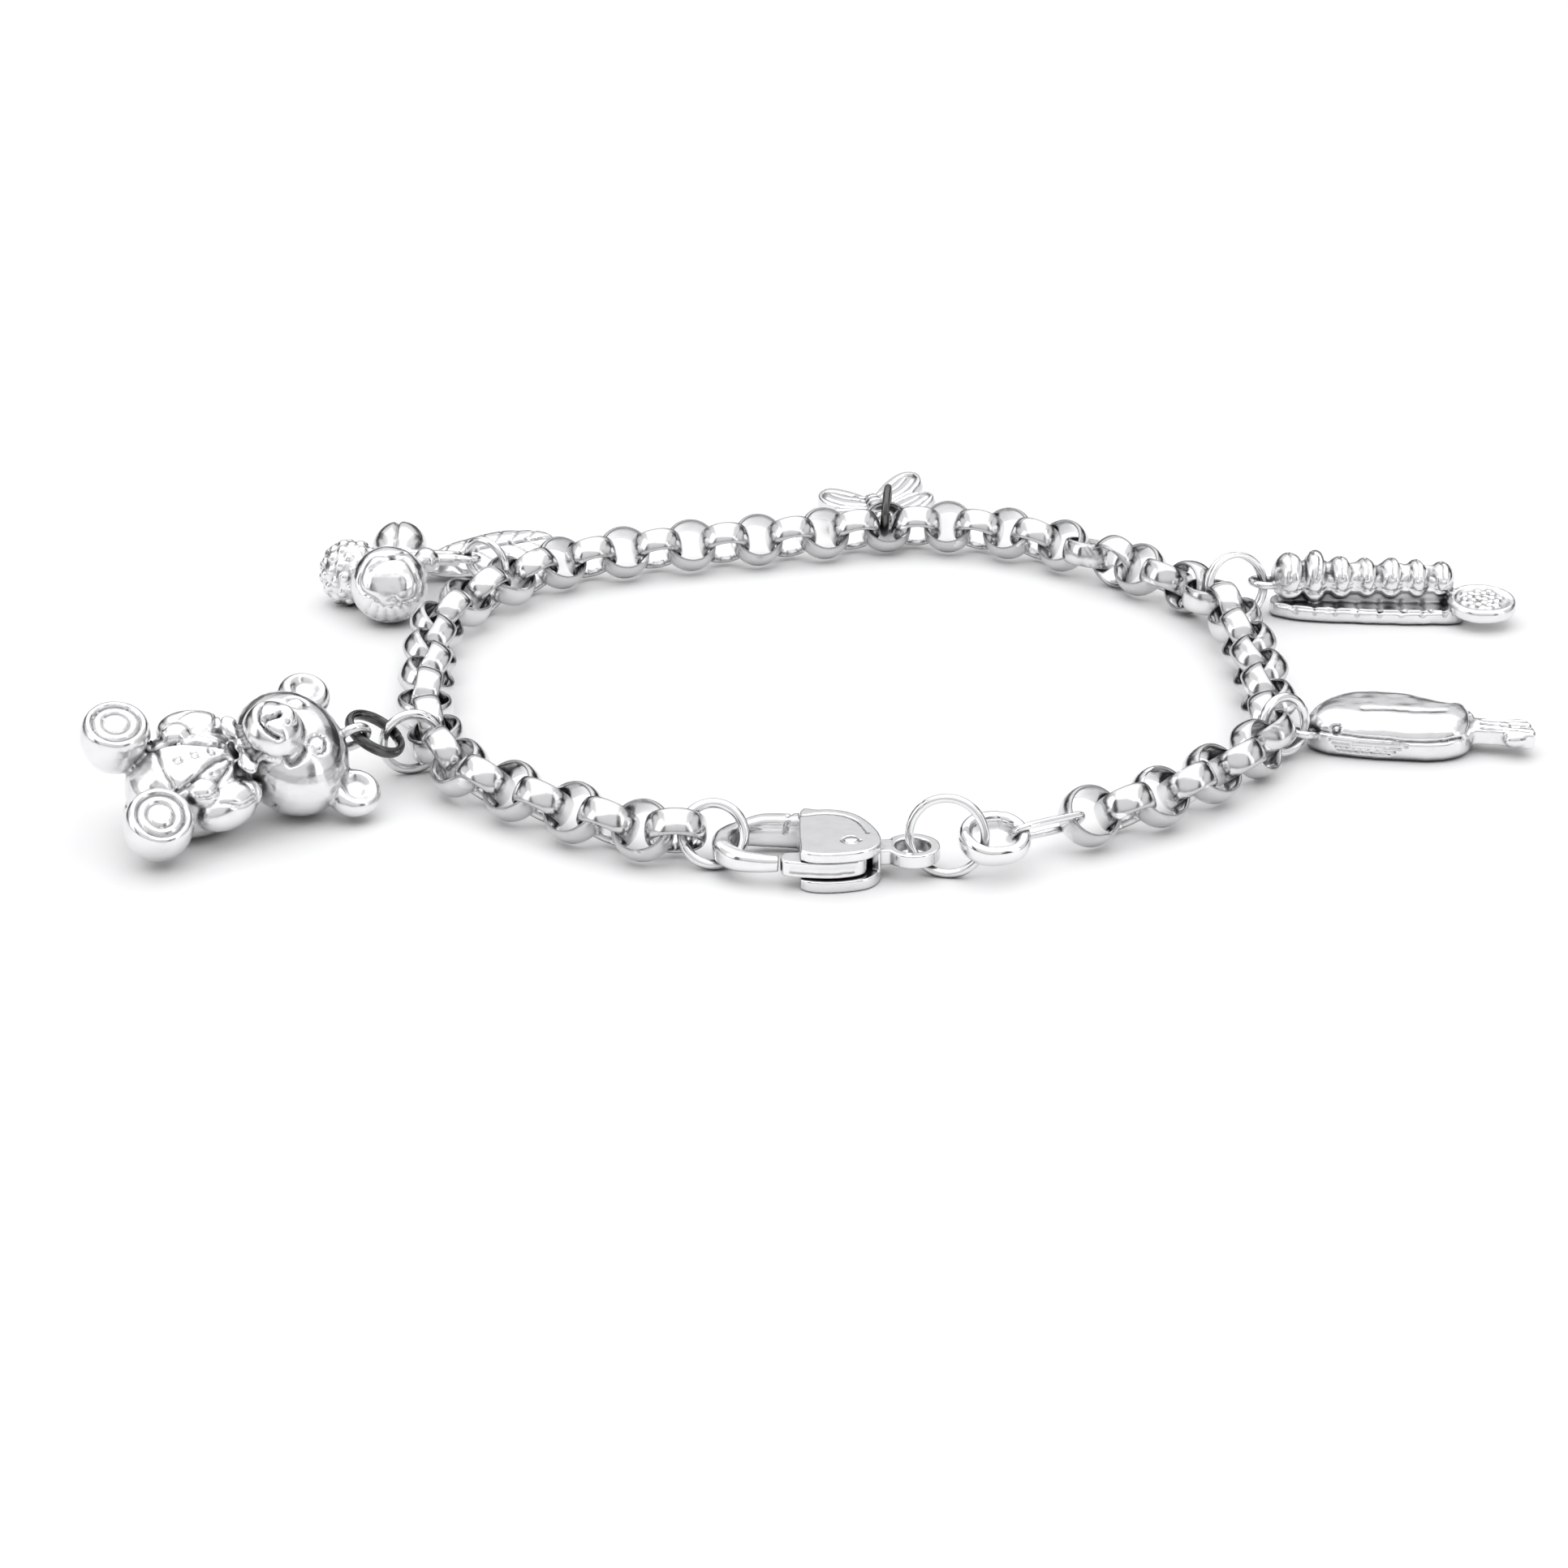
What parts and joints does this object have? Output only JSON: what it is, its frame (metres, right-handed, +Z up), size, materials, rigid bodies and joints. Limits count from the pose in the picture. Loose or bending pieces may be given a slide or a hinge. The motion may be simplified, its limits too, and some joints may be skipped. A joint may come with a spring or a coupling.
{
  "type": "charm bracelet",
  "caption": "Silver belcher-chain charm bracelet laid flat in an open loop, with a lobster-claw clasp and small cast charms hanging from jump rings.",
  "frame": {"origin": "centre of the bounding box's base, on the surface the bracelet lies on", "axes": "+Z up from that surface; +X along the long side of the layout, from the bear to the right-hand charms; +Y from the clasp towards the back of the loop"},
  "size_m": [0.0982, 0.0728, 0.0086],
  "materials": {
    "chain_silver": "polished sterling silver band links, greyer in the bores",
    "polished_silver": "polished sterling silver clasp and rings",
    "dark_silver": "tarnished silver ring wire, nearly black in the recesses",
    "cast_silver": "tumble-polished cast silver, soft dents, dark in the grooves"
  },
  "bodies": {
    "bracelet": {"chain_front_left": "chain_silver", "chain_left_front": "chain_silver", "chain_left_back": "chain_silver", "chain_back_left": "chain_silver", "chain_back_right": "chain_silver", "chain_right_back": "chain_silver", "chain_right_front": "chain_silver", "chain_front_right": "chain_silver", "clasp_body": "polished_silver", "ring_hook": "polished_silver", "ring_tail": "polished_silver", "link_wide": "polished_silver", "link_long": "polished_silver", "bear_ring": "polished_silver", "fruit_ring": "polished_silver", "segmented_ring_a": "polished_silver", "whale_ring": "polished_silver", "bear_bail": "dark_silver", "butterfly_ring": "dark_silver", "teddy_bear": "cast_silver", "fruit_sprig": "cast_silver", "butterfly": "cast_silver", "segmented_charm": "cast_silver", "whale_charm": "cast_silver"},
    "lever": {"clasp_lever": "polished_silver"}
  },
  "joints": [
    {"name": "lever_pivot", "type": "hinge", "parent": "bracelet", "child": "lever", "pos_m": [-0.00052, -0.03437, 0.0014], "axis": [0, 0, -1], "range_deg": [0, 20], "stiffness_Nm_per_rad": 0.004, "springref_deg": -14.32}
  ]
}
